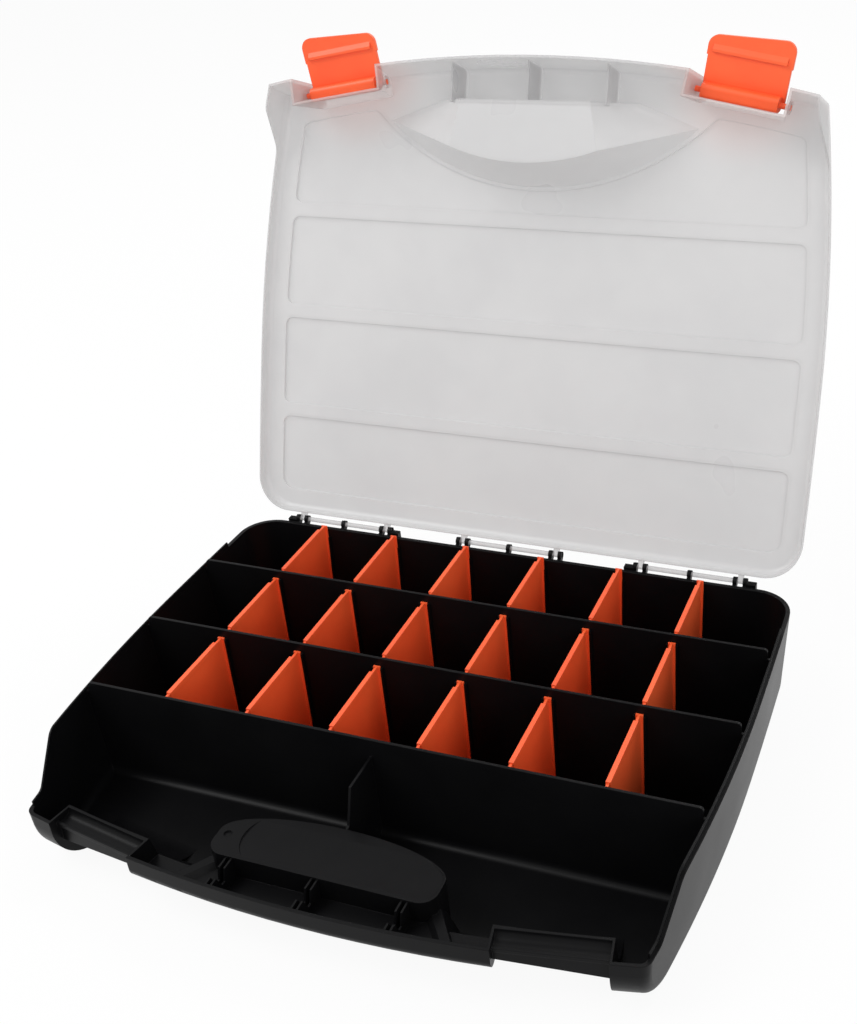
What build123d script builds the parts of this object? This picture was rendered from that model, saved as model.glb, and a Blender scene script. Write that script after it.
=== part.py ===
from build123d import *
import math
import os

# Compartment tool box: black tray, clear lid, two side latches and lift-out dividers.
# Millimetres, +Z up, front towards -Y. The origin is the centre of the underside.
# The tray is drawn as it stands. The lid and latches are drawn closed, then swung open.

# Plan of the rim
HALF_WIDTH = 180.5
WIDEST_Y = 37.0
SIDE_RADIUS_REAR = 4240.0
SIDE_RADIUS_FRONT = 1027.0
REAR_Y = 144.8
REAR_CORNER_RADIUS = 22.0
FRONT_Y = -143.0
FRONT_RADIUS = 750.0

# Heights of the tray
RIM_HEIGHT = 56.0
FRONT_RIM_HEIGHT = 33.6
LIP_HEIGHT = 3.3
LIP_ROOT = 0.8
ROW_WALL_HEIGHT = RIM_HEIGHT + 7.3
DRAFT_PER_MM = 0.066

# Walls of the tray
FLOOR = 2.0
SIDE_WALL = 2.5
LEDGE = 1.6
LIP_THICKNESS = 1.0
BOTTOM_RADIUS = 6.0
FRONT_BOTTOM_RADIUS = 27.0
FRONT_WALL = 1.9
FRONT_LEAN = 1.4
OVERLAP = 0.5

# Side profile of the rim
SLOPE_TOP_Y = -88.0
SLOPE_FOOT_Y = -110.0
SHOULDER_RADIUS = 9.0
FOOT_RADIUS = 6.0
LIP_FRONT_Y = -119.0
LIP_REAR_END = 40.0

# Rows and columns
ROW_WALL = 1.6
ROW_DEPTH = 63.0
ROW_COUNT = 3
COLUMN_COUNT = 6
COLUMN_SPARE = 11.0
COLUMN_OFFSET = -1.3
ROW_WALL_END_GAP = 1.6
ROW_WALL_CORNER = 2.0
GUIDE_THICKNESS = 1.0
GUIDE_DEPTH = 1.6
GUIDE_DROP = 5.8
FOOT_FILLET = 4.5

# Removable dividers
FIT_GAP = 0.3
DIVIDER_TOP_DROP = 3.9
DIVIDER_WEB = 1.5
DIVIDER_FLANGE_WIDTH = 4.0
DIVIDER_FLANGE = 1.2
DIVIDER_BEAD_WIDTH = 2.6
DIVIDER_BEAD_HEIGHT = 3.0
DIVIDER_BEAD_INSET = 7.0
DIVIDER_TAB_DROP = 0.9

# Front divider
FRONT_DIVIDER = 1.4
FRONT_DIVIDER_HEIGHT = RIM_HEIGHT - 3.5

# Finger pocket and handle bar of the tray
LATCH_X = HALF_WIDTH - 57.4
BOSS_REAR_HALF = LATCH_X - 65.1
BOSS_FRONT_HALF = LATCH_X - 39.1
PAD_HALF_WIDTH = BOSS_REAR_HALF + 3.5
PAD_ELLIPSE_DEPTH = 18.0
PAD_ELLIPSE_Y = -103.5
PAD_FRONT_Y = -119.7
PAD_FRONT_CORNER = 9.0
PAD_HEIGHT = 33.3
PAD_DISH = 0.9
PAD_DISH_MARGIN = 1.0
PAD_DISH_START = 31.5 - PAD_HALF_WIDTH
PAD_DISH_RADIUS = 18.0
PAD_HOLE_X = 5.5 - PAD_HALF_WIDTH
PAD_HOLE_Y = -105.7
PAD_HOLE_RADIUS = 2.2
POCKET_WALL = 2.0
TROUGH_HEIGHT = 23.3
BOSS_REAR_Y = -106.0
BOSS_SPREAD = 12.0
BAR_RIB = 1.0
BAR_RIB_GAP = 2.0
BAR_RIB_SPACING = 47.5
BAR_RIB_HEIGHT = 32.3
BAR_RIB_DIP = 6.8
BAR_RIB_CREST = 6.8
BAR_RIB_DROP_RUN = 2.0
BAR_RIB_DIP_RUN = 2.5
BAR_RIB_RISE_RUN = 3.5
BAR_RIB_FRONT_DROP = -0.6
BAR_HALF = LATCH_X - 27.4
BAR_BOTTOM_RADIUS = 7.0
BAR_FOOT = 18.6
DISH_FLOOR = 20.6
DISH_MARGIN = 3.0
DISH_SLOPE = 3.0
PAD_SCOOP_RADIUS = 90.0
PAD_SCOOP_Y = -105.0

# Latch recesses of the tray
LATCH_ANGLE = 10.0
RECESS_HALF_WIDTH = 26.8
RECESS_DEPTH = 14.5
RECESS_WALL = 1.2
RECESS_FLOOR_HEIGHT = 29.4
RECESS_FILLET = 4.0
RECESS_LEAN = 8.0
RECESS_REACH = 60.0
SKIRT_INNER_FOOT = 22.5
SKIRT_OUTER_FOOT = 18.0
CATCH_SETBACK = 5.2
CATCH_REACH = 1.5
CATCH_TOP = 30.8
CATCH_HEIGHT = 2.2

# Hinge
HINGE_OFFSET_Y = 4.0
HINGE_HEIGHT = RIM_HEIGHT + 1.0
ROD_RADIUS = 1.5
ROD_CLEARANCE = 0.1
ROD_END_GAP = 0.9
HOOK_RADIUS = 2.6
HOOK_THICKNESS = 2.4
HOOK_GAP = 3.6
HOOK_MOUTH = 2.4
ARM_CLEARANCE = 0.3
OUTER_GROUP_X = HALF_WIDTH - 65.0
OUTER_GROUP_HALF = 30.4
CENTRE_GROUP_HALF = 31.0
STRIP_LENGTH = 6.0
STRIP_HEIGHT = RIM_HEIGHT + 1.3
STRIP_DEPTH = 5.0

# Lid
OPEN_ANGLE = 110.1
LID_SEAT_GAP = 0.3
LID_RIM_WALL = 1.0
LID_FRONT_WALL = 1.5
LID_INNER_HEIGHT = ROW_WALL_HEIGHT + 0.4
LID_PLATE = 1.6
LID_TOP_RADIUS = 4.0
LID_DRAFT_PER_MM = 0.045
LID_FRONT_LEAN = 2.6
PANEL_RISE = 1.4
PANEL_SIDE_MARGIN = 12.5
PANEL_BAR_HALF = 3.2
PANEL_REAR_MARGIN = 10.1
PANEL_FRONT_MARGIN = 20.5
PANEL_CORNER = 5.0
PANEL_STEP = 1.2

# Finger pocket of the lid
LENS_REAR_Y = -72.2
LENS_HALF_WIDTH = LATCH_X - 26.1
LENS_BOW = 36.55
LENS_RADIUS = (LENS_HALF_WIDTH ** 2 + LENS_BOW ** 2) / (2 * LENS_BOW)
LENS_FRONT_Y = -119.0
LENS_FRONT_HALF = LATCH_X - 63.1
LENS_FLOOR_RADIUS = 134.0
LENS_FLOOR_REAR_Y = -85.0
LENS_FLOOR_HALF = 44.0
LENS_FLOOR_FRONT_Y = -117.0
LENS_FLOOR_FRONT_HALF = 38.0
LENS_FLOOR_HEIGHT = 37.0
LENS_WALL = 1.5
LENS_MARGIN = 2.0
LID_RIB = 1.2
LID_RIB_FOOT = 40.0

# Latches
LATCH_PIVOT_V = 9.5
LATCH_PIVOT_HEIGHT = LID_INNER_HEIGHT + LID_PLATE - 17.0
LATCH_OPEN_ANGLE = 73.0
LATCH_FACE_V = 2.3
LATCH_PLATE = 2.4
LATCH_OUTER_TIP = 15.3
LATCH_INNER_TIP = 19.6
LATCH_HALF_WIDTH = 23.6
LATCH_PADDLE_HALF = 24.3
LATCH_PADDLE_HEIGHT = 30.2
LATCH_TIP_CORNER = 6.0
LATCH_BAR_HALF = 22.0
LATCH_BAR_RADIUS = 4.2
LATCH_BAR_ROUND = 2.6
LATCH_PIN_RADIUS = 1.6
LATCH_PIN_CLEARANCE = 0.1
HOOK_RIB_REACH = 1.5
HOOK_RIB_HEIGHT = 5.0
HOOK_RIB_INSET = 2.5
LATCH_BRIDGE_ROUND = 3.0
NOTCH_FOOT_HALF = 28.2
NOTCH_TOP_HALF = 22.5
NOTCH_WALL = 1.5
PIN_BOSS_RADIUS = 3.6
PIN_BOSS_LENGTH = 1.6

# Worked out from the values above
INNER_REAR_Y = REAR_Y - SIDE_WALL - 0.3
HINGE_Y = REAR_Y + HINGE_OFFSET_Y
FRONT_CENTRE_Y = FRONT_Y + FRONT_RADIUS
LATCH_FRONT_Y = FRONT_CENTRE_Y - math.sqrt(FRONT_RADIUS ** 2 - LATCH_X ** 2)
ROW_WALL_YS = [INNER_REAR_Y - (row + 1) * ROW_DEPTH - (row + 0.5) * ROW_WALL for row in range(ROW_COUNT)]
COLUMN_PITCH = (2 * HALF_WIDTH - COLUMN_SPARE) / (COLUMN_COUNT + 1)
COLUMN_START = COLUMN_OFFSET - (COLUMN_COUNT - 1) / 2 * COLUMN_PITCH
COLUMN_XS = [COLUMN_START + column * COLUMN_PITCH for column in range(COLUMN_COUNT)]
SET_BACK_TOP = FRONT_RIM_HEIGHT + 1.0
LID_OUTER_HEIGHT = LID_INNER_HEIGHT + LID_PLATE
FAR = 400.0


def block(x0, x1, y0, y1, z0, z1):
    """A box from its lowest to its highest corner."""
    return Pos((x0 + x1) / 2, (y0 + y1) / 2, (z0 + z1) / 2) * Box(x1 - x0, y1 - y0, z1 - z0)


def side_x(y, inset):
    """Half the width of the plan at y, drawn in by inset."""
    radius = SIDE_RADIUS_REAR if y > WIDEST_Y else SIDE_RADIUS_FRONT
    return HALF_WIDTH - radius + math.sqrt((radius - inset) ** 2 - (y - WIDEST_Y) ** 2)


def plan(inset, z, front_y=FRONT_Y - 30):
    """Plan of the rim drawn in by inset, open-ended past the front."""
    rear = REAR_Y - inset
    middle_rear = (rear + WIDEST_Y) / 2
    middle_front = (front_y + WIDEST_Y) / 2
    half = HALF_WIDTH - inset
    x_rear = side_x(rear, inset)
    x_front = side_x(front_y, inset)
    edges = [
        Line((-x_rear, rear), (x_rear, rear)),
        ThreePointArc((x_rear, rear), (side_x(middle_rear, inset), middle_rear), (half, WIDEST_Y)),
        ThreePointArc((half, WIDEST_Y), (side_x(middle_front, inset), middle_front), (x_front, front_y)),
        Line((x_front, front_y), (-x_front, front_y)),
        ThreePointArc((-x_front, front_y), (-side_x(middle_front, inset), middle_front), (-half, WIDEST_Y)),
        ThreePointArc((-half, WIDEST_Y), (-side_x(middle_rear, inset), middle_rear), (-x_rear, rear)),
    ]
    face = make_face(edges)
    corners = face.vertices().sort_by(Axis.Y)[-2:]
    return Pos(0, 0, z) * fillet(corners, REAR_CORNER_RADIUS - inset)


def drafted(inset, z0, z1, z_rim=RIM_HEIGHT, draft=DRAFT_PER_MM):
    """Prism of the plan between two heights, narrower downwards by the draft."""
    low = plan(inset + (z_rim - z0) * draft, z0)
    high = plan(inset + (z_rim - z1) * draft, z1)
    return loft([low, high], ruled=True)


def bowed_front(radius, z0, z1, bottom_radius, lean):
    """Everything behind the bowed front face, with its bottom edge rounded."""
    foot = radius - lean
    points = [(radius - FAR, z0), (foot, z0), (radius, z1), (radius - FAR, z1)]
    outline = make_face(Polyline(*points, close=True))
    corner = outline.vertices().sort_by_distance((foot, z0, 0))[0]
    section = Plane.XZ * fillet(corner, bottom_radius)
    return Pos(0, FRONT_CENTRE_Y, 0) * revolve(Rot(0, 0, -90) * section, Axis.Z)


def rim_profile(raise_by, z_far):
    """Side view of the space between the rim, raised by a height, and a far height."""
    high = RIM_HEIGHT + raise_by
    low = FRONT_RIM_HEIGHT + raise_by
    points = [
        (FAR, high), (SLOPE_TOP_Y, high), (SLOPE_FOOT_Y, low), (-FAR, low), (-FAR, z_far), (FAR, z_far),
    ]
    face = make_face(Polyline(*points, close=True))
    top = face.vertices().sort_by_distance((SLOPE_TOP_Y, high, 0))[0]
    face = fillet(top, SHOULDER_RADIUS)
    foot = face.vertices().sort_by_distance((SLOPE_FOOT_Y, low, 0))[0]
    face = fillet(foot, FOOT_RADIUS)
    return extrude(Plane.YZ * face, FAR, both=True)


def latch_frame(side):
    """Frame at one latch: X outwards along the front, Y inwards from the front, Z up."""
    turn = side * LATCH_ANGLE
    return Pos(side * LATCH_X, LATCH_FRONT_Y, 0) * Rot(0, 0, turn)


def tray_form(wall, front_wall, floor, top):
    """Body of the tray drawn in by its walls, with rounded lower edges."""
    radius = FRONT_RADIUS - front_wall
    front = bowed_front(radius, floor, top, FRONT_BOTTOM_RADIUS - front_wall, FRONT_LEAN)
    form = drafted(wall, floor - 1, top + 1) & front
    return fillet(lower_edges(form, floor), BOTTOM_RADIUS - floor)


def lower_edges(solid, z):
    """Edges round the bottom of a drafted body and up its two front corners."""
    top = solid.bounding_box().max.Z
    chosen = ShapeList()
    for edge in solid.edges():
        centre = edge.center()
        box = edge.bounding_box()
        on_bottom = box.max.Z < z + 0.01
        in_corner = abs(centre.X) > HALF_WIDTH - 40 and centre.Y < FRONT_Y + 50
        at_corner = in_corner and box.size.Z > 4
        across = box.size.X > 60 and centre.Y < 0
        if (on_bottom or at_corner) and not across and box.min.Z < top - 1:
            chosen.append(edge)
    return chosen


def lip_ring():
    """Raised lip inside the ledge, following the rim down the slope and fading at its ends."""
    low_z = FRONT_RIM_HEIGHT - 4
    high_z = RIM_HEIGHT + LIP_HEIGHT + 1
    outer = drafted(LEDGE, low_z, high_z)
    inner = drafted(LEDGE + LIP_THICKNESS, low_z - 1, high_z + 1)
    ring = (outer - inner) - rim_profile(LIP_HEIGHT, FAR) - rim_profile(-LIP_ROOT, -FAR)
    ring = ring - block(-FAR, FAR, -FAR, LIP_FRONT_Y, 0, FAR)
    return ring - block(-FAR, FAR, REAR_Y - LIP_REAR_END, FAR, 0, FAR)


def row_walls(inner):
    """Fixed walls between the rows, drawn in above the rim at each end."""
    walls = []
    for y in ROW_WALL_YS:
        full = block(-FAR / 2, FAR / 2, y - ROW_WALL / 2, y + ROW_WALL / 2, FLOOR - OVERLAP, RIM_HEIGHT + 1)
        walls.append(full & inner)
        half = side_x(y, SIDE_WALL) - ROW_WALL_END_GAP
        upper = RectangleRounded(2 * half, 2 * (ROW_WALL_HEIGHT - 30), ROW_WALL_CORNER)
        slab = extrude(Plane.XZ.offset(-y) * Pos(0, 30) * upper, ROW_WALL / 2, both=True)
        walls.append(slab - block(-FAR, FAR, -FAR, FAR, -FAR, 30))
    walls.append(foot_fillet() & inner)
    return walls


def foot_fillet():
    """Rounded foot along the front of the last row wall."""
    wall_front = ROW_WALL_YS[-1] - ROW_WALL / 2
    size = FOOT_FILLET
    y = wall_front + (OVERLAP - size) / 2
    z = FLOOR + (size - OVERLAP) / 2
    face = Pos(y, z) * Rectangle(size + OVERLAP, size + OVERLAP)
    face = face - Pos(wall_front - size, FLOOR + size) * Circle(size)
    return extrude(Plane.YZ * face, FAR, both=True)


def guide_ribs():
    """Pairs of small ribs that hold each removable divider."""
    ribs = []
    offset = DIVIDER_FLANGE_WIDTH / 2 + FIT_GAP + GUIDE_THICKNESS / 2
    row_backs = [INNER_REAR_Y] + [y - ROW_WALL / 2 for y in ROW_WALL_YS[:-1]]
    tops = [RIM_HEIGHT - GUIDE_DROP] + [ROW_WALL_HEIGHT - GUIDE_DROP] * (ROW_COUNT - 1)
    front_top = ROW_WALL_HEIGHT - GUIDE_DROP
    for row, (back, top) in enumerate(zip(row_backs, tops)):
        lean = DRAFT_PER_MM * (top - FLOOR) if row == 0 else 0
        front = back - ROW_DEPTH
        face = back - GUIDE_DEPTH
        low = FLOOR - OVERLAP
        far = back + OVERLAP
        points = [(face - lean, low), (face, top), (far, top), (far, low)]
        profile = Plane.YZ * make_face(Polyline(*points, close=True))
        rear_rib = extrude(profile, GUIDE_THICKNESS / 2, both=True)
        for x in COLUMN_XS:
            for side in (-1, 1):
                middle = x + side * offset
                x0 = middle - GUIDE_THICKNESS / 2
                x1 = middle + GUIDE_THICKNESS / 2
                ribs.append(Pos(middle, 0, 0) * rear_rib)
                ribs.append(block(x0, x1, front - OVERLAP, front + GUIDE_DEPTH, low, front_top))
    return ribs


def pad_face(inset):
    """Outline of the pad over the finger pocket."""
    half = PAD_HALF_WIDTH - inset
    depth = PAD_ELLIPSE_DEPTH - inset
    rear = Pos(0, PAD_ELLIPSE_Y) * Ellipse(half, depth)
    rear = rear - Pos(0, PAD_ELLIPSE_Y - FAR / 2) * Rectangle(FAR, FAR)
    front_depth = PAD_ELLIPSE_Y - PAD_FRONT_Y - inset
    front = Pos(0, PAD_ELLIPSE_Y - front_depth / 2 + 1) * Rectangle(2 * half, front_depth + 2)
    corners = front.vertices().sort_by(Axis.Y)[:2]
    front = fillet(corners, PAD_FRONT_CORNER)
    front = front - Pos(0, PAD_ELLIPSE_Y + FAR / 2) * Rectangle(FAR, FAR)
    return rear + front


def boss_solid(inset, top, bottom):
    """Flared boss below the handle bar, spreading towards the floor."""
    front_y = FRONT_Y - 20
    outlines = []
    for z, spread in ((bottom, BOSS_SPREAD * (top - bottom) / TROUGH_HEIGHT), (top, 0)):
        rear = BOSS_REAR_HALF + spread - inset
        front = BOSS_FRONT_HALF + spread - inset
        slope = (BOSS_FRONT_HALF - BOSS_REAR_HALF) / (BOSS_REAR_Y - FRONT_Y)
        reach = front + slope * (FRONT_Y - front_y)
        rear_y = BOSS_REAR_Y - inset
        points = [(-rear, rear_y), (rear, rear_y), (reach, front_y), (-reach, front_y)]
        outlines.append(Pos(0, 0, z) * make_face(Polyline(*points, close=True)))
    return loft(outlines, ruled=True)


def handle(outer):
    """Solids and voids of the finger pocket, trough and handle bar."""
    boss = boss_solid(0, TROUGH_HEIGHT, 0) & outer
    pad = extrude(pad_face(0), PAD_HEIGHT)
    pocket = extrude(pad_face(POCKET_WALL), PAD_HEIGHT - POCKET_WALL)
    under = boss_solid(POCKET_WALL, BAR_FOOT, -OVERLAP)
    dish = trough_dish() - extrude(pad_face(0), PAD_HEIGHT + 1)
    return [boss, pad], [pocket, under, dish & bar_front(FRONT_WALL)]


def boss_outline(inset, z):
    """Plan of the boss at the trough's height, carried past the front."""
    front_y = FRONT_Y - 20
    slope = (BOSS_FRONT_HALF - BOSS_REAR_HALF) / (BOSS_REAR_Y - FRONT_Y)
    rear = BOSS_REAR_HALF - inset
    reach = BOSS_FRONT_HALF - inset + slope * (FRONT_Y - front_y)
    rear_y = BOSS_REAR_Y - inset
    points = [(-rear, rear_y), (rear, rear_y), (reach, front_y), (-reach, front_y)]
    return Pos(0, 0, z) * make_face(Polyline(*points, close=True))


def trough_dish():
    """Hollow of the trough, which leaves a ridge along the edges of the boss."""
    low = boss_outline(DISH_MARGIN + DISH_SLOPE, DISH_FLOOR)
    high = boss_outline(DISH_MARGIN, TROUGH_HEIGHT + 1)
    return loft([low, high], ruled=True)


def bar_lean():
    """How far the front face has leaned back at the foot of the handle bar."""
    return FRONT_LEAN * (1 - BAR_FOOT / RIM_HEIGHT)


def bar_front(inset):
    """Everything behind the face of the handle bar, drawn in by inset."""
    low = BAR_FOOT + inset
    return bowed_front(FRONT_RADIUS - inset, low, RIM_HEIGHT, BAR_BOTTOM_RADIUS - inset, bar_lean())


def set_back(inset, low):
    """Everything behind the front wall where it stands back below the bar and the latches."""
    radius = FRONT_RADIUS - RECESS_DEPTH - inset
    return bowed_front(radius, low, SET_BACK_TOP, FRONT_BOTTOM_RADIUS - inset, RECESS_LEAN)


def front_housing(outer):
    """Set-back front wall, with the walls and roofs that join it to the outer front."""
    wide = RECESS_HALF_WIDTH + RECESS_WALL
    whole = block(-BAR_HALF, BAR_HALF, -FAR, BOSS_REAR_Y, FLOOR / 2, BAR_FOOT + FRONT_WALL)
    recess = block(-wide, wide, -20, RECESS_REACH, FLOOR / 2, FRONT_RIM_HEIGHT)
    whole = whole + [latch_frame(side) * recess for side in (-1, 1)]
    return (whole & outer) - set_back(RECESS_WALL, FLOOR)


def handle_bar():
    """Wall of the handle bar, rounded at its lower edge."""
    zone = block(-BAR_HALF, BAR_HALF, -FAR, BOSS_REAR_Y, BAR_FOOT, FRONT_RIM_HEIGHT - 1)
    return (zone & bar_front(0)) - bar_front(FRONT_WALL) - set_back(RECESS_WALL / 2, FLOOR / 2)


def front_under():
    """Space in front of the set-back wall, below the handle bar and the recess floors."""
    half = RECESS_HALF_WIDTH
    shelf = RECESS_FLOOR_HEIGHT - RECESS_WALL
    top = BAR_FOOT + BAR_BOTTOM_RADIUS
    wide = BAR_HALF + 2 * RECESS_WALL
    whole = block(-wide, wide, -FAR, BOSS_REAR_Y, -1, top) - bar_front(0)
    for side in (-1, 1):
        under = block(-half, half, -20, RECESS_REACH, -1, shelf) - recess_skirt(side)
        whole = whole + latch_frame(side) * under
    return whole - set_back(0, -1)


def bar_ribs():
    """Pairs of thin ribs with a dip in their top, tying the pad to the handle bar."""
    rear = PAD_FRONT_Y + 1
    low = DISH_FLOOR - OVERLAP
    crest = PAD_FRONT_Y - BAR_RIB_CREST
    dip = crest - BAR_RIB_DROP_RUN
    rise = dip - BAR_RIB_DIP_RUN
    front = rise - BAR_RIB_RISE_RUN
    dip_z = BAR_RIB_HEIGHT - BAR_RIB_DIP
    front_z = BAR_RIB_HEIGHT - BAR_RIB_FRONT_DROP
    points = [
        (rear, low), (rear, BAR_RIB_HEIGHT), (crest, BAR_RIB_HEIGHT), (dip, dip_z), (rise, dip_z),
        (front, front_z), (FRONT_Y, front_z), (FRONT_Y, low),
    ]
    rib = extrude(Plane.YZ * make_face(Polyline(*points, close=True)), BAR_RIB / 2, both=True)
    room = bar_front(FRONT_WALL / 2)
    ribs = []
    for x in (-BAR_RIB_SPACING, 0, BAR_RIB_SPACING):
        for side in (-1, 1):
            ribs.append((Pos(x + side * (BAR_RIB + BAR_RIB_GAP) / 2, 0, 0) * rib) & room)
    return ribs


def recess_void(side):
    """Space of one latch recess, above its floor and in front of its catch bead."""
    half = RECESS_HALF_WIDTH
    lip = CATCH_SETBACK + CATCH_REACH
    upper = block(-half, half, -20, RECESS_DEPTH, RECESS_FLOOR_HEIGHT, FAR)
    rear_edge = upper.edges().filter_by(Axis.X).sort_by(Axis.Z)[:2].sort_by(Axis.Y)[-1]
    upper = fillet(rear_edge, RECESS_FILLET)
    trench = block(-half, half, -20, CATCH_SETBACK, CATCH_TOP - CATCH_HEIGHT, FAR)
    lower = block(-half, half, -20, lip, -1, CATCH_TOP - CATCH_HEIGHT)
    bead = block(-half, half, CATCH_SETBACK, lip, CATCH_TOP - CATCH_HEIGHT, CATCH_TOP)
    return latch_frame(side) * (upper + trench + lower - bead)


def recess_skirt(side):
    """Plate hanging below the recess floor behind the latch, deeper at its outer end."""
    half = side * RECESS_HALF_WIDTH
    middle = CATCH_SETBACK + CATCH_REACH + RECESS_WALL / 2
    points = [
        (-half, SKIRT_INNER_FOOT), (half, SKIRT_OUTER_FOOT),
        (half, RECESS_FLOOR_HEIGHT), (-half, RECESS_FLOOR_HEIGHT),
    ]
    face = make_face(Polyline(*points, close=True))
    return extrude(Plane.XZ.offset(-middle) * face, RECESS_WALL / 2, both=True)


def hinge_groups():
    """Centre and half-length of each hinge group along the rear edge."""
    return [(-OUTER_GROUP_X, OUTER_GROUP_HALF), (0, CENTRE_GROUP_HALF), (OUTER_GROUP_X, OUTER_GROUP_HALF)]


def hook_centres():
    """Places along the rear edge of the tray's hinge hooks."""
    pitch = (HOOK_THICKNESS + HOOK_GAP) / 2
    places = []
    for centre, half in hinge_groups():
        places += [centre - half - pitch, centre - half + pitch, centre]
        places += [centre + half - pitch, centre + half + pitch]
    return places


def hinge_hook(x):
    """One hook that wraps round the lid's rod, open towards the rear and up."""
    ring = Pos(HINGE_Y, HINGE_HEIGHT) * Circle(HOOK_RADIUS)
    web_low = HINGE_HEIGHT - 9
    web = make_face(
        Polyline(
            (REAR_Y - 1.5, web_low), (REAR_Y - 1.5, RIM_HEIGHT - 1), (HINGE_Y, HINGE_HEIGHT - 0.5),
            (HINGE_Y + HOOK_RADIUS, HINGE_HEIGHT),
            (HINGE_Y + 1, HINGE_HEIGHT - HOOK_RADIUS - OVERLAP), close=True,
        )
    )
    bore = Pos(HINGE_Y, HINGE_HEIGHT) * Circle(ROD_RADIUS + ROD_CLEARANCE)
    mouth = Pos(HINGE_Y, HINGE_HEIGHT) * Rot(0, 0, 60) * Pos(3, 0) * Rectangle(6, HOOK_MOUTH)
    profile = ring + web - bore - mouth
    return Pos(x, 0, 0) * extrude(Plane.YZ * profile, HOOK_THICKNESS / 2, both=True)


def hinge_strips():
    """Short stop strips beside the outer hinge groups."""
    strips = []
    for side in (-1, 1):
        for direction in (-1, 1):
            near = OUTER_GROUP_HALF + HOOK_GAP / 2 + HOOK_THICKNESS
            centre = side * OUTER_GROUP_X + direction * (near + STRIP_LENGTH / 2 - OVERLAP)
            half = STRIP_LENGTH / 2
            low = RIM_HEIGHT - STRIP_DEPTH - 1
            rear = REAR_Y + STRIP_DEPTH
            x0 = centre - half
            x1 = centre + half
            strips.append(block(x0, x1, REAR_Y - 1.5, rear, low, RIM_HEIGHT - OVERLAP))
            strips.append(block(x0, x1, REAR_Y + 1.0, rear, low, STRIP_HEIGHT))
    return strips


def front_divider():
    """Fixed divider between the two front bins, sloped to clear the lid's pocket."""
    wall_front = ROW_WALL_YS[-1] - ROW_WALL / 2
    pad_rear = PAD_ELLIPSE_Y + PAD_ELLIPSE_DEPTH
    top = FRONT_DIVIDER_HEIGHT
    gap = 2 * FIT_GAP
    rise = (top - LENS_FLOOR_HEIGHT) / (LID_OUTER_HEIGHT - LENS_FLOOR_HEIGHT)
    top_end = LENS_FLOOR_REAR_Y + rise * (LENS_REAR_Y - LENS_FLOOR_REAR_Y) + LENS_WALL + gap
    points = [
        (wall_front + OVERLAP, FLOOR - OVERLAP), (pad_rear - 1.2, FLOOR - OVERLAP),
        (pad_rear - 1.2, PAD_HEIGHT - 1), (LENS_FLOOR_REAR_Y + LENS_WALL + gap, PAD_HEIGHT),
        (top_end, top), (wall_front + OVERLAP, top),
    ]
    return extrude(Plane.YZ * make_face(Polyline(*points, close=True)), FRONT_DIVIDER / 2, both=True)


def base_tray():
    """The black tray: one moulding."""
    outer = tray_form(0, 0, 0, RIM_HEIGHT)
    inner = tray_form(SIDE_WALL, FRONT_WALL, FLOOR, RIM_HEIGHT + 1)
    shell = outer - inner - rim_profile(0, FAR)
    divider = front_divider()
    solids, voids = handle(outer)
    tray = shell + row_walls(inner) + guide_ribs() + lip_ring() + divider + solids
    tray = tray + front_housing(outer) + handle_bar()
    tray = tray - voids - front_under() - [recess_void(side) for side in (-1, 1)]
    tray = tray - pad_scoop()
    hole = Pos(PAD_HOLE_X, PAD_HOLE_Y, PAD_HEIGHT) * Cylinder(PAD_HOLE_RADIUS, 2 * PAD_DISH)
    tray = tray - hole
    tray = tray + bar_ribs() + [hinge_hook(x) for x in hook_centres()] + hinge_strips()
    return largest(tray)


def pad_scoop():
    """Shallow hollow in the pad, deepest along its middle."""
    prism = Pos(0, 0, PAD_HEIGHT - 2 * PAD_DISH) * extrude(dish_face(), 3 * PAD_DISH)
    axis = Pos(0, PAD_SCOOP_Y, PAD_HEIGHT - PAD_DISH + PAD_SCOOP_RADIUS) * Rot(0, 90, 0)
    return prism & (axis * Cylinder(PAD_SCOOP_RADIUS, 4 * PAD_HALF_WIDTH))


def dish_face():
    """Slightly sunk area of the pad, rounded at its left end."""
    right = Pos(PAD_DISH_START + FAR / 2, PAD_ELLIPSE_Y) * Rectangle(FAR, FAR)
    end = Pos(PAD_DISH_START, PAD_ELLIPSE_Y) * Circle(PAD_DISH_RADIUS)
    return pad_face(PAD_DISH_MARGIN) & (right + end)


def largest(shape):
    """The main solid of a boolean result."""
    return shape.solids().sort_by(SortBy.VOLUME)[-1]


def divider(row, x):
    """One removable divider, standing in its guides."""
    back = INNER_REAR_Y if row == 0 else ROW_WALL_YS[row - 1] - ROW_WALL / 2
    rear = back - FIT_GAP
    front = back - ROW_DEPTH + FIT_GAP
    low = FLOOR + FIT_GAP
    top = ROW_WALL_HEIGHT - DIVIDER_TOP_DROP
    tab_top = top - DIVIDER_TAB_DROP
    web = DIVIDER_WEB / 2
    flange = DIVIDER_FLANGE_WIDTH / 2
    bead = DIVIDER_BEAD_WIDTH / 2
    inset = DIVIDER_BEAD_INSET
    body = block(x - web, x + web, front, rear, low, tab_top)
    rear_flange = block(x - flange, x + flange, rear - DIVIDER_FLANGE, rear, low, tab_top)
    if row == 0:
        room = tray_form(SIDE_WALL + FIT_GAP, FRONT_WALL, low, ROW_WALL_HEIGHT + 10)
        body = body & room
        rear_flange = block(x - flange, x + flange, rear - 2 * BOTTOM_RADIUS, rear, low, tab_top) & room
        rear_flange = rear_flange - Pos(0, -DIVIDER_FLANGE, 0) * room
    body += rear_flange
    body += block(x - flange, x + flange, front, front + DIVIDER_FLANGE, low, tab_top)
    body += block(x - bead, x + bead, front + inset, rear - inset, top - DIVIDER_BEAD_HEIGHT, top)
    return largest(body)


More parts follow.
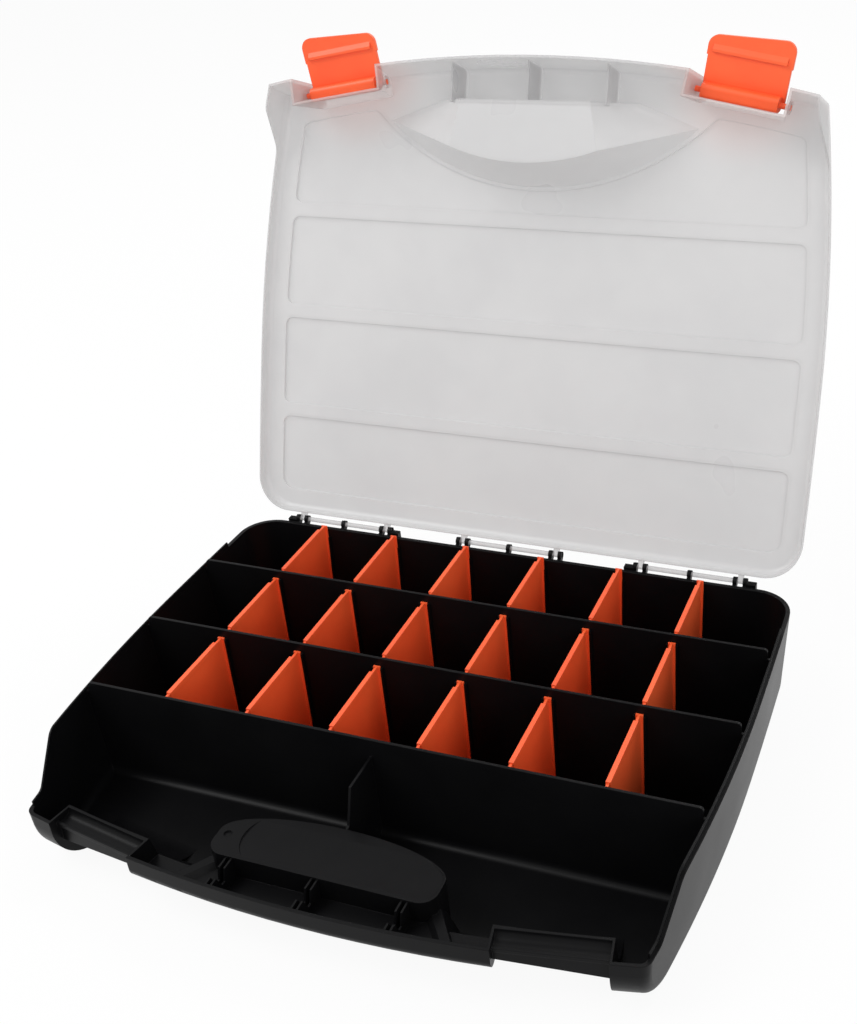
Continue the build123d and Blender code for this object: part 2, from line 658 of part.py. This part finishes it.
def lid_outer():
    """Outer form of the closed lid, down to the sloping rim."""
    seat = RIM_HEIGHT + LID_SEAT_GAP
    foot = FRONT_RIM_HEIGHT
    skirt = drafted(0, foot, seat)
    cap = drafted(0, seat, LID_OUTER_HEIGHT, z_rim=seat, draft=-LID_DRAFT_PER_MM)
    front = lid_front(FRONT_RADIUS, LID_OUTER_HEIGHT)
    body = (skirt + cap) & front
    return fillet(top_edges(body, LID_OUTER_HEIGHT), LID_TOP_RADIUS)


def lid_front(radius, top):
    """Everything behind the lid's bowed front, leaning back towards the top."""
    low = FRONT_RIM_HEIGHT - 2
    high = top + 2
    points = [(radius - FAR, low), (radius, low), (radius - LID_FRONT_LEAN, high), (radius - FAR, high)]
    section = Plane.XZ * make_face(Polyline(*points, close=True))
    return Pos(0, FRONT_CENTRE_Y, 0) * revolve(Rot(0, 0, -90) * section, Axis.Z)


def top_edges(solid, z):
    """Edges round the top face."""
    return solid.edges().filter_by(lambda edge: edge.bounding_box().min.Z > z - 0.01)


def lid_inner():
    """Space under the lid's plate and inside its rim."""
    seat = RIM_HEIGHT + LID_SEAT_GAP
    foot = FRONT_RIM_HEIGHT - 1
    skirt = drafted(LID_RIM_WALL, foot, seat)
    cap = drafted(LID_RIM_WALL, seat, LID_INNER_HEIGHT, z_rim=seat, draft=-LID_DRAFT_PER_MM)
    front = lid_front(FRONT_RADIUS - LID_FRONT_WALL, LID_INNER_HEIGHT)
    body = (skirt + cap) & front
    return fillet(top_edges(body, LID_INNER_HEIGHT), LID_TOP_RADIUS - LID_RIM_WALL + 0.2)


def lens_solid(grow, top, drop):
    """Scooped finger pocket of the lid, grown outwards for its walls."""
    outlines = []
    for z, radius, rear, half, front, front_half in (
        (LENS_FLOOR_HEIGHT - drop, LENS_FLOOR_RADIUS, LENS_FLOOR_REAR_Y, LENS_FLOOR_HALF,
         LENS_FLOOR_FRONT_Y, LENS_FLOOR_FRONT_HALF),
        (top, LENS_RADIUS, LENS_REAR_Y, LENS_HALF_WIDTH, LENS_FRONT_Y, LENS_FRONT_HALF),
    ):
        big = radius + grow
        centre_y = rear - radius
        wide = half + grow
        y_end = centre_y + math.sqrt(big ** 2 - wide ** 2)
        edges = [
            ThreePointArc((-wide, y_end), (0, rear + grow), (wide, y_end)),
            Line((wide, y_end), (front_half + grow, front - grow)),
            Line((front_half + grow, front - grow), (-front_half - grow, front - grow)),
            Line((-front_half - grow, front - grow), (-wide, y_end)),
        ]
        outlines.append(Pos(0, 0, z) * make_face(edges))
    return loft(outlines, ruled=True)


def panel_faces(shrink):
    """Plan of the raised lid panels, one over each row and one over the front bins."""
    whole = plan(PANEL_SIDE_MARGIN + shrink, 0)
    bars = [INNER_REAR_Y + PANEL_BAR_HALF] + ROW_WALL_YS
    faces = []
    for index, bar in enumerate(bars):
        rear = bar - PANEL_BAR_HALF - shrink
        if index == 0:
            rear = REAR_Y - PANEL_REAR_MARGIN - shrink
        front = bars[index + 1] + PANEL_BAR_HALF + shrink if index < ROW_COUNT else -FAR
        strip = Pos(0, (rear + front) / 2) * Rectangle(FAR, rear - front)
        face = whole & strip
        if index == ROW_COUNT:
            face = face & (Pos(0, FRONT_CENTRE_Y) * Circle(FRONT_RADIUS - PANEL_FRONT_MARGIN - shrink))
            face = face - lens_plan(LENS_MARGIN + shrink)
        faces.append(rounded(face, PANEL_CORNER))
    return faces


def lens_plan(grow):
    """Plan of the lid's finger pocket at the top, carried past the front."""
    centre_y = LENS_REAR_Y - LENS_RADIUS
    disc = Pos(0, centre_y) * Circle(LENS_RADIUS + grow)
    return disc & (Pos(0, FRONT_Y + 30) * Rectangle(2 * LENS_HALF_WIDTH + 40, 120))


def rounded(face, radius):
    """A panel with its sharp corners rounded; the smooth joins of its sides are left."""
    corners = face.vertices().filter_by(lambda v: abs(v.Y - WIDEST_Y) > 1 and v.Y < REAR_Y - 30)
    return fillet(corners, radius)


def lid():
    """The clear lid as it lies when closed."""
    outer = lid_outer()
    body = outer - lid_inner() - rim_profile_below()
    body = body + (lens_solid(LENS_WALL, LID_OUTER_HEIGHT - OVERLAP, LENS_WALL) & outer)
    body = body + [wall & outer for wall in notch_walls()] + pin_bosses()
    for x in (-BAR_RIB_SPACING, 0, BAR_RIB_SPACING):
        half = LID_RIB / 2
        top = LID_OUTER_HEIGHT - OVERLAP
        rib = block(x - half, x + half, FRONT_Y, LENS_FLOOR_FRONT_Y, LID_RIB_FOOT, top)
        body = body + (rib & outer)
    for face in panel_faces(0):
        body = body + Pos(0, 0, LID_OUTER_HEIGHT - OVERLAP) * extrude(face, PANEL_RISE + OVERLAP)
    for face in panel_faces(PANEL_STEP):
        body = body - Pos(0, 0, LID_INNER_HEIGHT - OVERLAP) * extrude(face, PANEL_RISE + OVERLAP)
    body = body - lens_solid(0, LID_OUTER_HEIGHT + 3, 0) - notch_voids()
    return largest(body + lid_hinge())


def notch_half(z):
    """Half the width of a latch notch, which narrows towards the top of the lid."""
    height = LID_INNER_HEIGHT + LID_PLATE - FRONT_RIM_HEIGHT
    return NOTCH_FOOT_HALF - (NOTCH_FOOT_HALF - NOTCH_TOP_HALF) * (z - FRONT_RIM_HEIGHT) / height


def notch_prism(grow, low):
    """A latch notch in its own frame, grown outwards for its walls."""
    high = LID_OUTER_HEIGHT + 5
    wide = notch_half(low) + grow
    narrow = notch_half(high) + grow
    points = [(-wide, low), (wide, low), (narrow, high), (-narrow, high)]
    middle = (RECESS_DEPTH + grow - 20) / 2
    depth = RECESS_DEPTH + grow + 20
    face = Plane.XZ.offset(-middle) * make_face(Polyline(*points, close=True))
    return extrude(face, depth / 2, both=True)


def notch_walls():
    """Blocks that the two latch notches of the lid are cut from."""
    wall = notch_prism(NOTCH_WALL, FRONT_RIM_HEIGHT + LID_SEAT_GAP)
    return [latch_frame(side) * wall for side in (-1, 1)]


def pin_reach():
    """Half the length of a latch pin, to the outer end of its bosses."""
    return notch_half(LATCH_PIVOT_HEIGHT) + NOTCH_WALL + PIN_BOSS_LENGTH


def pin_bosses():
    """Round bosses that the latch pins turn in, outside the notch walls."""
    boss = Rot(0, 90, 0) * Cylinder(PIN_BOSS_RADIUS, 2 * pin_reach())
    return [latch_frame(side) * Pos(0, LATCH_PIVOT_V, LATCH_PIVOT_HEIGHT) * boss for side in (-1, 1)]


def notch_voids():
    """Open space of the two latch notches, with the bores for the pins."""
    bore = Rot(0, 90, 0) * Cylinder(LATCH_PIN_RADIUS + LATCH_PIN_CLEARANCE, 2 * pin_reach() + 6)
    void = notch_prism(0, FRONT_RIM_HEIGHT - 5)
    void = void + Pos(0, LATCH_PIVOT_V, LATCH_PIVOT_HEIGHT) * bore
    return [latch_frame(side) * void for side in (-1, 1)]


def rim_profile_below():
    """Side view of everything below the lid's resting edge."""
    return rim_profile(LID_SEAT_GAP, -FAR)


def lid_hinge():
    """Rods and arms along the rear edge of the lid."""
    pieces = []
    arm_width = HOOK_GAP - 2 * ARM_CLEARANCE
    for centre, half in hinge_groups():
        length = 2 * half + HOOK_GAP + 2 * HOOK_THICKNESS - 2 * ROD_END_GAP
        rod = Rot(0, 90, 0) * Cylinder(ROD_RADIUS, length)
        pieces.append(Pos(centre, HINGE_Y, HINGE_HEIGHT) * rod)
        for end in (-1, 1):
            x = centre + end * half
            points = [
                (REAR_Y - 1.0, RIM_HEIGHT + LID_SEAT_GAP + 0.6),
                (HINGE_Y, HINGE_HEIGHT - ROD_RADIUS + 0.2), (HINGE_Y + 1.2, HINGE_HEIGHT),
                (HINGE_Y, HINGE_HEIGHT + ROD_RADIUS), (REAR_Y - 1.0, RIM_HEIGHT + 6.0),
            ]
            arm = make_face(Polyline(*points, close=True))
            pieces.append(Pos(x, 0, 0) * extrude(Plane.YZ * arm, arm_width / 2, both=True))
    return pieces


def latch(side):
    """One latch in its own frame as it lies when closed."""
    face = LATCH_FACE_V
    top = LATCH_PIVOT_HEIGHT
    half = LATCH_HALF_WIDTH
    plate = block(-half, half, face, face + LATCH_PLATE, LATCH_PADDLE_HEIGHT - 1, top)
    bar_size = 2 * LATCH_BAR_RADIUS
    section = Pos(LATCH_PIVOT_V, top) * RectangleRounded(bar_size, bar_size, LATCH_BAR_ROUND)
    bar = extrude(Plane.YZ * section, LATCH_BAR_HALF, both=True)
    low = top - LATCH_BAR_RADIUS + 1
    bridge_half = LATCH_BAR_HALF
    bridge = block(-bridge_half, bridge_half, face, LATCH_PIVOT_V, low, top + LATCH_BAR_RADIUS)
    bridge_edge = bridge.edges().filter_by(Axis.X).sort_by(Axis.Z)[-2:].sort_by(Axis.Y)[0]
    bridge = fillet(bridge_edge, LATCH_BRIDGE_ROUND)
    pin = Pos(0, LATCH_PIVOT_V, top) * Rot(0, 90, 0) * Cylinder(LATCH_PIN_RADIUS, 2 * pin_reach())
    return largest(plate + paddle(side) + bridge + bar + latch_rib() + pin)


def paddle(side):
    """Finger plate of a latch, lower at its outer end."""
    half = side * LATCH_PADDLE_HALF
    high = LATCH_PADDLE_HEIGHT
    points = [(-half, LATCH_INNER_TIP), (half, LATCH_OUTER_TIP), (half, high), (-half, high)]
    outline = make_face(Polyline(*points, close=True))
    outline = fillet(outline.vertices().sort_by(Axis.Y)[:2], LATCH_TIP_CORNER)
    middle = LATCH_FACE_V + LATCH_PLATE / 2
    return extrude(Plane.XZ.offset(-middle) * outline, LATCH_PLATE / 2, both=True)


def latch_rib():
    """Catch rib on the back of a latch, which snaps under the tray's bead."""
    back = LATCH_FACE_V + LATCH_PLATE
    high = CATCH_TOP - CATCH_HEIGHT - FIT_GAP
    low = high - HOOK_RIB_HEIGHT
    reach = back + HOOK_RIB_REACH
    points = [(back - OVERLAP, low), (reach, high - 1.5), (reach, high), (back - OVERLAP, high)]
    face = make_face(Polyline(*points, close=True))
    return extrude(Plane.YZ * face, LATCH_HALF_WIDTH - HOOK_RIB_INSET, both=True)


def swing_lid(shape):
    """Swing a piece of the closed lid to the open position."""
    hinge = Axis((0, HINGE_Y, HINGE_HEIGHT), (1, 0, 0))
    return shape.rotate(hinge, -OPEN_ANGLE)


def build():
    """Every piece of the tool box by name, with the lid open."""
    pieces = {"base_tray": base_tray(), "lid": swing_lid(lid())}
    latch_axis = Axis((0, LATCH_PIVOT_V, LATCH_PIVOT_HEIGHT), (1, 0, 0))
    for name, side in (("latch_left", -1), ("latch_right", 1)):
        opened = latch(side).rotate(latch_axis, -LATCH_OPEN_ANGLE)
        pieces[name] = swing_lid(latch_frame(side) * opened)
    for row, row_name in enumerate(("rear", "middle", "front")):
        for column, x in enumerate(COLUMN_XS):
            pieces[f"divider_{row_name}_{column + 1}"] = divider(row, x)
    return pieces


if __name__ == "__main__":
    os.makedirs("parts", exist_ok=True)
    for name, piece in build().items():
        piece.label = name
        export_step(piece, f"parts/{name}.step")
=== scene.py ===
"""Looks of the compartment tool box: black tray, frosted lid, orange latches and dividers."""

import logging
import math
from dataclasses import dataclass
from enum import Enum
from typing import Any, Optional

import bmesh
import bpy
from mathutils import Matrix, Vector


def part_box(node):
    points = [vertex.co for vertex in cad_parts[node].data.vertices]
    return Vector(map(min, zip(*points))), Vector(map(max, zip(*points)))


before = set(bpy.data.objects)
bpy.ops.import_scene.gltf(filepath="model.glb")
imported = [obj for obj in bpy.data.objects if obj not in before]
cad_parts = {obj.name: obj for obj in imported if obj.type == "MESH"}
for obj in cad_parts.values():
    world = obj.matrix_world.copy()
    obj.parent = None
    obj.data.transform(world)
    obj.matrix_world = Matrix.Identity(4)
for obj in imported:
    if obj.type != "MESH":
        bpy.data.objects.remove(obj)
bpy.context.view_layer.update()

LOG = logging.getLogger("tool_box")
Colour = tuple[float, float, float]
Place = tuple[float, float, float]

WHITE = (1.0, 1.0, 1.0, 1.0)
MIX_SHARE, MIX_FIRST, MIX_SECOND, MIX_COLOUR = 0, 6, 7, 2
BEVEL_SAMPLES = 4
RELIEF_DEPTH = 0.0002
NOISE_MIDDLE = 0.5
NOISE_LOW, NOISE_HIGH = 0.3, 0.7


class Wire:
    """A node socket that adds Math nodes when it is used in an expression."""

    def __init__(self, tree: "NodeTree", socket: bpy.types.NodeSocket) -> None:
        """Keeps the tree and the socket.

        Args:
            tree: the node tree that the socket belongs to.
            socket: an output socket of that tree.
        """
        self.tree = tree
        self.socket = socket

    def _math(self, operation: str, first: Any, second: Any, clamp: bool = False) -> "Wire":
        """Adds one Math node.

        Args:
            operation: the Math node's operation.
            first: its first value or link.
            second: its second value or link.
            clamp: whether the result stays between 0 and 1.

        Returns:
            The node's output.
        """
        settings = {"operation": operation, "use_clamp": clamp}
        return self.tree.node("ShaderNodeMath", settings, {0: first, 1: second})

    def __add__(self, other: Any) -> "Wire":
        """Sum."""
        return self._math("ADD", self, other)

    def __radd__(self, other: Any) -> "Wire":
        """Sum, reflected."""
        return self._math("ADD", other, self)

    def __sub__(self, other: Any) -> "Wire":
        """Difference."""
        return self._math("SUBTRACT", self, other)

    def __rsub__(self, other: Any) -> "Wire":
        """Difference, reflected."""
        return self._math("SUBTRACT", other, self)

    def __mul__(self, other: Any) -> "Wire":
        """Product."""
        return self._math("MULTIPLY", self, other)

    def __rmul__(self, other: Any) -> "Wire":
        """Product, reflected."""
        return self._math("MULTIPLY", other, self)

    def clamped(self) -> "Wire":
        """The value held between 0 and 1."""
        return self._math("ADD", self, 0.0, clamp=True)

    def smooth(self, low: float, high: float) -> "Wire":
        """Smooth step from 0 at low to 1 at high.

        Args:
            low: value at which the step starts.
            high: value at which the step ends.

        Returns:
            The stepped value.
        """
        settings = {"interpolation_type": "SMOOTHSTEP"}
        values = {"Value": self, "From Min": low, "From Max": high, "To Min": 0.0, "To Max": 1.0}
        return self.tree.node("ShaderNodeMapRange", settings, values)


class NodeTree:
    """A node tree that is filled from empty."""

    def __init__(self, tree: bpy.types.NodeTree) -> None:
        """Empties the tree.

        Args:
            tree: the node tree of a material or a world.
        """
        self.nodes = tree.nodes
        self.links = tree.links
        self.nodes.clear()

    def feed(self, target: bpy.types.NodeSocket, value: Any) -> None:
        """Links a wire to a socket, or writes a value into it.

        Args:
            target: the input socket.
            value: a number, colour or Wire.
        """
        if isinstance(value, Wire):
            self.links.new(value.socket, target)
        else:
            target.default_value = value

    def node(
        self, kind: str, settings: Optional[dict] = None, values: Optional[dict] = None, out: Any = 0
    ) -> Wire:
        """Adds a node, sets it up and links it.

        Args:
            kind: the node's type.
            settings: attributes set before the sockets.
            values: socket name or index to a number, colour or Wire.
            out: name or index of the output to return.

        Returns:
            The chosen output.
        """
        made = self.nodes.new(kind)
        for key, value in (settings or {}).items():
            setattr(made, key, value)
        for key, value in (values or {}).items():
            self.feed(made.inputs[key], value)
        return Wire(self, made.outputs[out])

    def background_rays(self) -> Wire:
        """1 on camera, transmission and glossy rays, which show the white background."""
        camera = self.node("ShaderNodeLightPath", out="Is Camera Ray")
        through = self.node("ShaderNodeLightPath", out="Is Transmission Ray")
        gloss = self.node("ShaderNodeLightPath", out="Is Glossy Ray")
        return (camera + through + gloss).clamped()

    def end(self, kind: str, shader: Wire) -> None:
        """Adds the output node.

        Args:
            kind: the output node's type.
            shader: what goes to its surface.
        """
        self.feed(self.nodes.new(kind).inputs["Surface"], shader)


class MaterialTree(NodeTree):
    """A material and its nodes."""

    def __init__(self, name: str) -> None:
        """Starts an empty node material.

        Args:
            name: the material's name.
        """
        self.material = bpy.data.materials.new(name)
        self.material.use_nodes = True
        super().__init__(self.material.node_tree)

    def place(self) -> Wire:
        """Object coordinates."""
        return self.node("ShaderNodeTexCoord", out="Object")

    def noise(
        self, size: float, detail: float = 2.0, roughness: float = 0.5, place: Optional[Wire] = None
    ) -> Wire:
        """Noise whose grains have a size in metres.

        Args:
            size: size of a grain.
            detail: octaves.
            roughness: weight of the fine octaves.
            place: coordinates, or Object coordinates if left out.

        Returns:
            The noise value.
        """
        values = {
            "Vector": place or self.place(),
            "Scale": 1.0 / size,
            "Detail": detail,
            "Roughness": roughness,
        }
        return self.node("ShaderNodeTexNoise", {}, values)

    def blend(self, share: Any, first: Any, second: Any) -> Wire:
        """Mixes two colours.

        Args:
            share: 0 gives the first, 1 the second.
            first: colour or link.
            second: colour or link.

        Returns:
            The mixed colour.
        """
        made = self.nodes.new("ShaderNodeMix")
        made.data_type = "RGBA"
        self.feed(made.inputs[MIX_SHARE], share)
        for index, value in ((MIX_FIRST, first), (MIX_SECOND, second)):
            self.feed(made.inputs[index], (*value, 1.0) if isinstance(value, tuple) else value)
        return Wire(self, made.outputs[MIX_COLOUR])

    def relief(self, height: Wire, strength: float, edge_radius: float) -> Wire:
        """Normal of a textured surface with softened edges.

        Args:
            height: the texture.
            strength: how strongly the texture shows.
            edge_radius: radius of the softened edges.

        Returns:
            The normal.
        """
        soft = self.node("ShaderNodeBevel", {"samples": BEVEL_SAMPLES}, {"Radius": edge_radius})
        values = {"Strength": strength, "Distance": RELIEF_DEPTH, "Height": height, "Normal": soft}
        return self.node("ShaderNodeBump", {}, values)

    def finish(self, shader: Wire) -> bpy.types.Material:
        """Links the surface and returns the material.

        Args:
            shader: the surface shader.

        Returns:
            The finished material.
        """
        self.end("ShaderNodeOutputMaterial", shader)
        return self.material


@dataclass(frozen=True)
class MouldedPlastic:
    """Opaque moulded plastic with a fine spark-eroded texture and soft edges."""

    name: str
    colour: Colour
    deep_colour: Colour
    roughness: float
    relief: float = 0.12
    specular: float = 0.5
    grain: float = 0.00035
    cloud: float = 0.06
    cloud_share: float = 0.7
    streak: float = 0.012
    streak_share: float = 0.3
    edge_radius: float = 0.0005
    cloud_gloss: float = 0.12
    grain_gloss: float = 0.1

    def make(self) -> bpy.types.Material:
        """Builds the material.

        Returns:
            The finished material.
        """
        tree = MaterialTree(self.name)
        place = tree.place()
        grain = tree.noise(self.grain, 3.0, 0.6, place)
        cloud = tree.noise(self.cloud, 2.0, 0.5, place)
        streak = tree.noise(self.streak, 2.0, 0.5, place)
        shade = (cloud * self.cloud_share + streak * self.streak_share).smooth(NOISE_LOW, NOISE_HIGH)
        patches = (cloud - NOISE_MIDDLE) * self.cloud_gloss
        specks = (grain - NOISE_MIDDLE) * self.grain_gloss
        values = {
            "Base Color": tree.blend(shade, self.deep_colour, self.colour),
            "Roughness": self.roughness + patches + specks,
            "Normal": tree.relief(grain, self.relief, self.edge_radius),
            "Specular IOR Level": self.specular,
        }
        return tree.finish(tree.node("ShaderNodeBsdfPrincipled", {}, values))


@dataclass(frozen=True)
class FrostedPlastic:
    """Clear plastic with a frosted, slightly milky look, and painted orange light from the latches beside
    them.
    """

    name: str
    colour: Colour = (0.62, 0.612, 0.614)
    cloud_colour: Colour = (0.56, 0.553, 0.557)
    painted_reflection_colour: Colour = (0.84, 0.49, 0.43)
    painted_reflection_near: float = 0.024
    painted_reflection_far: float = 0.055
    painted_reflection_share: float = 0.38
    cover: float = 0.50
    roughness: float = 0.3
    relief: float = 0.06
    cloud: float = 0.09
    grain: float = 0.0009
    edge_radius: float = 0.0008
    cloud_gloss: float = 0.15
    cloud_cover: float = 0.06

    def make(self) -> bpy.types.Material:
        """Builds the material.

        Returns:
            The finished material.
        """
        tree = MaterialTree(self.name)
        place = tree.place()
        cloud = tree.noise(self.cloud, 3.0, 0.55, place)
        grain = tree.noise(self.grain, 2.0, 0.5, place)
        milk = tree.blend(cloud.smooth(NOISE_LOW, NOISE_HIGH), self.cloud_colour, self.colour)
        # painted light: the latches' orange, reflected off and shining through the lid, is mixed into the
        # base colour near each latch
        glow = (self.near(tree, place, "latch_left") + self.near(tree, place, "latch_right")).clamped()
        values = {
            "Base Color": tree.blend(glow * self.painted_reflection_share, milk, self.painted_reflection_colour),
            "Roughness": self.roughness + (cloud - NOISE_MIDDLE) * self.cloud_gloss,
            "Alpha": (self.cover + (cloud - NOISE_MIDDLE) * self.cloud_cover).clamped(),
            "Normal": tree.relief(grain, self.relief, self.edge_radius),
        }
        return tree.finish(tree.node("ShaderNodeBsdfPrincipled", {}, values))

    def near(self, tree: MaterialTree, place: Wire, latch: str) -> Wire:
        """Mask of the painted orange light from a latch, reflected off and shining through the plastic.

        Args:
            tree: the tree to add to.
            place: Object coordinates.
            latch: the latch's node.

        Returns:
            1 at the latch, falling to 0.
        """
        low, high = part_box(latch)
        centre = tuple((a + b) / 2 for a, b in zip(low, high))
        ends = {0: place, 1: centre}
        away = tree.node("ShaderNodeVectorMath", {"operation": "DISTANCE"}, ends, out="Value")
        return 1.0 - away.smooth(self.painted_reflection_near, self.painted_reflection_far)


class Finish(Enum):
    """The three plastics of the tool box."""

    TRAY = MouldedPlastic(
        "black_plastic", (0.0042, 0.0042, 0.0046), (0.0030, 0.0030, 0.0034), 0.36, specular=0.09
    )
    ACCENT = MouldedPlastic("orange_plastic", (1.0, 0.135, 0.034), (0.96, 0.11, 0.027), 0.45, relief=0.06)
    LID = FrostedPlastic("frosted_plastic")


class Palette:
    """Makes each finish once and hands it out."""

    def __init__(self) -> None:
        """Starts with nothing made."""
        self.made: dict[Finish, bpy.types.Material] = {}

    def get(self, finish: Finish) -> bpy.types.Material:
        """The material of a finish.

        Args:
            finish: which plastic.

        Returns:
            Its material.
        """
        if finish not in self.made:
            self.made[finish] = finish.value.make()
        return self.made[finish]

    def dress(self, node: str, finish: Finish) -> None:
        """Gives a CAD node its finish.

        Args:
            node: the node's name.
            finish: which plastic.
        """
        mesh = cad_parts[node].data
        mesh.materials.clear()
        mesh.materials.append(self.get(finish))
        LOG.info("dressed %s in %s", node, finish.name)


@dataclass
class Tray:
    """The black tray."""

    palette: Palette
    node: str = "base_tray"

    def build(self) -> None:
        """Dresses the tray."""
        self.palette.dress(self.node, Finish.TRAY)


@dataclass
class Lid:
    """The frosted lid."""

    palette: Palette
    node: str = "lid"

    def build(self) -> None:
        """Dresses the lid."""
        self.palette.dress(self.node, Finish.LID)


@dataclass
class Latches:
    """The two swing latches."""

    palette: Palette
    nodes: tuple[str, str] = ("latch_left", "latch_right")

    def build(self) -> None:
        """Dresses both latches."""
        for node in self.nodes:
            self.palette.dress(node, Finish.ACCENT)


@dataclass
class Dividers:
    """The eighteen lift-out dividers."""

    palette: Palette
    rows: tuple[str, ...] = ("rear", "middle", "front")
    columns: int = 6

    def build(self) -> None:
        """Dresses every divider."""
        for row in self.rows:
            for column in range(1, self.columns + 1):
                self.palette.dress(f"divider_{row}_{column}", Finish.ACCENT)


@dataclass(frozen=True)
class Lamp:
    """One soft rectangular lamp, with its size in metres and its power in watts."""

    name: str
    place: Place
    aim: Place
    size: tuple[float, float]
    power: float

    def hang(self) -> None:
        """Adds the lamp to the scene."""
        data = bpy.data.lights.new(self.name, "AREA")
        data.shape = "RECTANGLE"
        data.size, data.size_y = self.size
        data.energy = self.power
        piece = bpy.data.objects.new(self.name, data)
        turn = (Vector(self.place) - Vector(self.aim)).to_track_quat("Z", "Y").to_matrix()
        piece.matrix_world = Matrix.Translation(self.place) @ turn.to_4x4()
        bpy.context.collection.objects.link(piece)


@dataclass
class Studio:
    """Floor, backdrop, lamps and camera."""

    floor_size: float = 12.0
    floor_drop: float = 0.0002
    floor_cloud: float = 0.4
    floor_colours: tuple[Colour, Colour] = ((0.80, 0.80, 0.80), (0.82, 0.82, 0.82))
    floor_roughness: float = 0.9
    floor_specular: float = 0.1
    floor_white: float = 0.93
    world_light: float = 0.55
    camera_place: Place = (0.281511, -0.514489, 0.501760)
    azimuth: float = 23.6391
    elevation: float = 30.3824
    roll: float = -4.6780
    lens: float = 47.551
    sensor: float = 36.0
    shift: tuple[float, float] = (-0.06356, 0.00612)
    clip: tuple[float, float] = (0.05, 50.0)
    lamps: tuple[Lamp, ...] = (
        Lamp("key_lamp", (-1.1, -0.5, 1.7), (0.0, 0.0, 0.1), (1.2, 1.2), 22.0),
        Lamp("back_lamp", (0.4, 1.5, 1.5), (0.0, 0.1, 0.15), (1.6, 1.0), 16.0),
        Lamp("fill_lamp", (1.4, -1.2, 1.0), (0.0, 0.0, 0.1), (1.2, 1.2), 11.0),
    )

    def floor(self) -> None:
        """A wide pale floor that keeps the shadow and shows white."""
        mesh = bmesh.new()
        bmesh.ops.create_grid(mesh, x_segments=1, y_segments=1, size=self.floor_size / 2)
        bmesh.ops.translate(mesh, verts=mesh.verts, vec=(0.0, 0.0, -self.floor_drop))
        data = bpy.data.meshes.new("floor")
        mesh.to_mesh(data)
        mesh.free()
        piece = bpy.data.objects.new("floor", data)
        bpy.context.collection.objects.link(piece)
        data.materials.append(self.floor_paper())

    def floor_paper(self) -> bpy.types.Material:
        """Pale paper that mostly shows plain white to the rays that see the background.

        Returns:
            The finished material.
        """
        tree = MaterialTree("floor_paper")
        values = {
            "Base Color": tree.blend(tree.noise(self.floor_cloud), *self.floor_colours),
            "Roughness": self.floor_roughness,
            "Specular IOR Level": self.floor_specular,
        }
        paper = tree.node("ShaderNodeBsdfPrincipled", {}, values)
        glow = tree.node("ShaderNodeEmission", {}, {"Color": WHITE, "Strength": 1.0})
        share = tree.background_rays() * self.floor_white
        return tree.finish(tree.node("ShaderNodeMixShader", {}, {0: share, 1: paper, 2: glow}))

    def backdrop(self) -> None:
        """A world that lights softly and shows white."""
        world = bpy.data.worlds.new("studio_world")
        bpy.context.scene.world = world
        world.use_nodes = True
        tree = NodeTree(world.node_tree)
        soft = tree.node("ShaderNodeBackground", {}, {"Color": WHITE, "Strength": self.world_light})
        white = tree.node("ShaderNodeBackground", {}, {"Color": WHITE, "Strength": 1.0})
        ends = {0: tree.background_rays(), 1: soft, 2: white}
        tree.end("ShaderNodeOutputWorld", tree.node("ShaderNodeMixShader", {}, ends))

    def camera(self) -> None:
        """The photograph's viewpoint, as fitted to points measured in it."""
        az, el, roll = (math.radians(v) for v in (self.azimuth, self.elevation, self.roll))
        back = Vector((math.sin(az) * math.cos(el), -math.cos(az) * math.cos(el), math.sin(el)))
        right = Vector((math.cos(az), math.sin(az), 0.0))
        up = back.cross(right)
        turned_right = math.cos(roll) * right + math.sin(roll) * up
        turned_up = -math.sin(roll) * right + math.cos(roll) * up
        turn = Matrix((turned_right, turned_up, back)).transposed().to_4x4()
        data = bpy.data.cameras.new("camera")
        data.sensor_fit = "AUTO"
        data.sensor_width = self.sensor
        data.lens = self.lens
        data.shift_x, data.shift_y = self.shift
        data.clip_start, data.clip_end = self.clip
        piece = bpy.data.objects.new("camera", data)
        piece.matrix_world = Matrix.Translation(self.camera_place) @ turn
        bpy.context.collection.objects.link(piece)
        bpy.context.scene.camera = piece

    def build(self) -> None:
        """Sets up the whole studio."""
        self.floor()
        self.backdrop()
        for lamp in self.lamps:
            lamp.hang()
        self.camera()
        bpy.context.scene.view_settings.view_transform = "Standard"
        LOG.info("studio ready")


def main() -> None:
    """Builds the dressed tool box and its studio."""
    logging.basicConfig(level=logging.INFO)
    palette = Palette()
    for part in (Tray(palette), Lid(palette), Latches(palette), Dividers(palette), Studio()):
        part.build()


if __name__ == "__main__":
    main()
